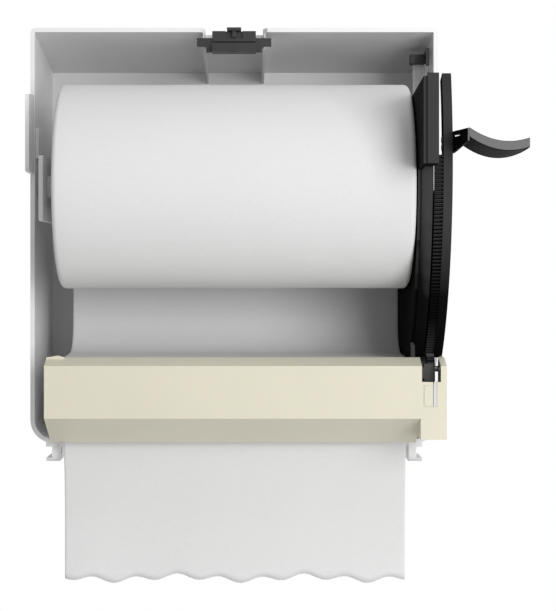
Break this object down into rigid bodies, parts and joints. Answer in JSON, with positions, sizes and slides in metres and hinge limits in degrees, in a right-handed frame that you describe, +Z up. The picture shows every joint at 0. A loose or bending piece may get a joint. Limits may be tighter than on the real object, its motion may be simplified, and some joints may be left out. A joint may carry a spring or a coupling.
{
  "type": "paper towel dispenser",
  "caption": "Wall-mounted lever paper towel dispenser with its front cover off: tray housing, towel roll, sector-gear lever drive, cream chute cover and hanging sheet.",
  "frame": {"origin": "centre of the housing's back face, on the wall", "axes": "+X to the right, +Y into the wall, +Z up"},
  "size_m": [0.2826, 0.198, 0.3321],
  "materials": {
    "housing_plastic": "satin white moulded shell",
    "white_plastic": "fine matt moulded",
    "black_plastic": "satin black moulded",
    "gloss_black": "polished black moulded",
    "grey_plastic": "dark grey moulded",
    "cream_plastic": "satin cream moulded",
    "natural_plastic": "natural unfilled moulded",
    "steel": "bright drawn",
    "bronze": "sintered",
    "rubber": "ground",
    "paper": "soft towel paper",
    "cardboard": "spiral wound board"
  },
  "bodies": {
    "root": {"housing": "housing_plastic", "left_arm_pin": "white_plastic", "right_hub": "black_plastic", "paper_web": "paper", "mechanism_plate": "black_plastic", "plate_screws": "steel", "top_bracket": "white_plastic", "bracket_cap": "black_plastic", "pivot_axle": "steel", "axle_clip": "steel", "return_spring": "steel", "left_feed_bush": "natural_plastic", "right_feed_bush": "natural_plastic", "pinch_springs": "steel", "left_side_frame": "white_plastic", "frame_screws": "steel", "paper_guide": "white_plastic", "tear_bar": "steel", "chute_cover": "cream_plastic", "pawl_block": "grey_plastic"},
    "latch": {"latch_body": "black_plastic", "latch_pin": "black_plastic", "latch_key_tab": "black_plastic", "latch_spring": "steel"},
    "left_arm": {"left_roll_arm": "white_plastic", "left_hub": "white_plastic"},
    "roll": {"paper_roll": "paper", "roll_core": "cardboard"},
    "lever": {"sector_gear": "black_plastic", "sector_bush": "bronze", "lever_arm": "gloss_black", "lever_paddle": "gloss_black", "lever_rivets": "black_plastic"},
    "pinion_gear": {"pinion": "grey_plastic"},
    "feed": {"clutch_drum": "grey_plastic", "feed_shaft": "steel", "feed_rollers": "rubber"},
    "pinch": {"pinch_shaft": "steel", "pinch_rollers": "natural_plastic"}
  },
  "joints": [
    {"name": "lever_pull", "type": "hinge", "parent": "root", "child": "lever", "pos_m": [0.117, -0.024, 0.0403], "axis": [1, 0, 0], "range_deg": [0, 40], "stiffness_Nm_per_rad": 0.3, "springref_deg": -34.38},
    {"name": "pinion_spin", "type": "hinge", "parent": "root", "child": "pinion_gear", "pos_m": [0.1145, -0.11907, -0.07824], "axis": [1, 0, 0], "range_deg": [-690, 0]},
    {"name": "feed_spin", "type": "hinge", "parent": "root", "child": "feed", "pos_m": [0.0005, -0.11907, -0.07824], "axis": [1, 0, 0], "range_deg": [-690, 0]},
    {"name": "pinch_spin", "type": "hinge", "parent": "root", "child": "pinch", "pos_m": [0.0005, -0.10657, -0.07824], "axis": [1, 0, 0], "range_deg": [0, 890]},
    {"name": "roll_spin", "type": "hinge", "parent": "root", "child": "roll", "pos_m": [0.0005, -0.11, 0.0283], "axis": [1, 0, 0], "continuous": true},
    {"name": "latch_press", "type": "hinge", "parent": "root", "child": "latch", "pos_m": [0, -0.0895, 0.1159], "axis": [-1, 0, 0], "range_deg": [0, 10], "stiffness_Nm_per_rad": 0.03, "springref_deg": -2.86},
    {"name": "left_arm_swing", "type": "hinge", "parent": "root", "child": "left_arm", "pos_m": [-0.115, -0.056, 0.02655], "axis": [0, 0, -1], "range_deg": [0, 6], "stiffness_Nm_per_rad": 0.6, "springref_deg": -5.73}
  ],
  "couplings": [
    {"joint": "pinion_spin", "follows": "lever_pull", "ratio": -17.083},
    {"joint": "feed_spin", "follows": "lever_pull", "ratio": -17.083},
    {"joint": "pinch_spin", "follows": "lever_pull", "ratio": 22.208}
  ]
}
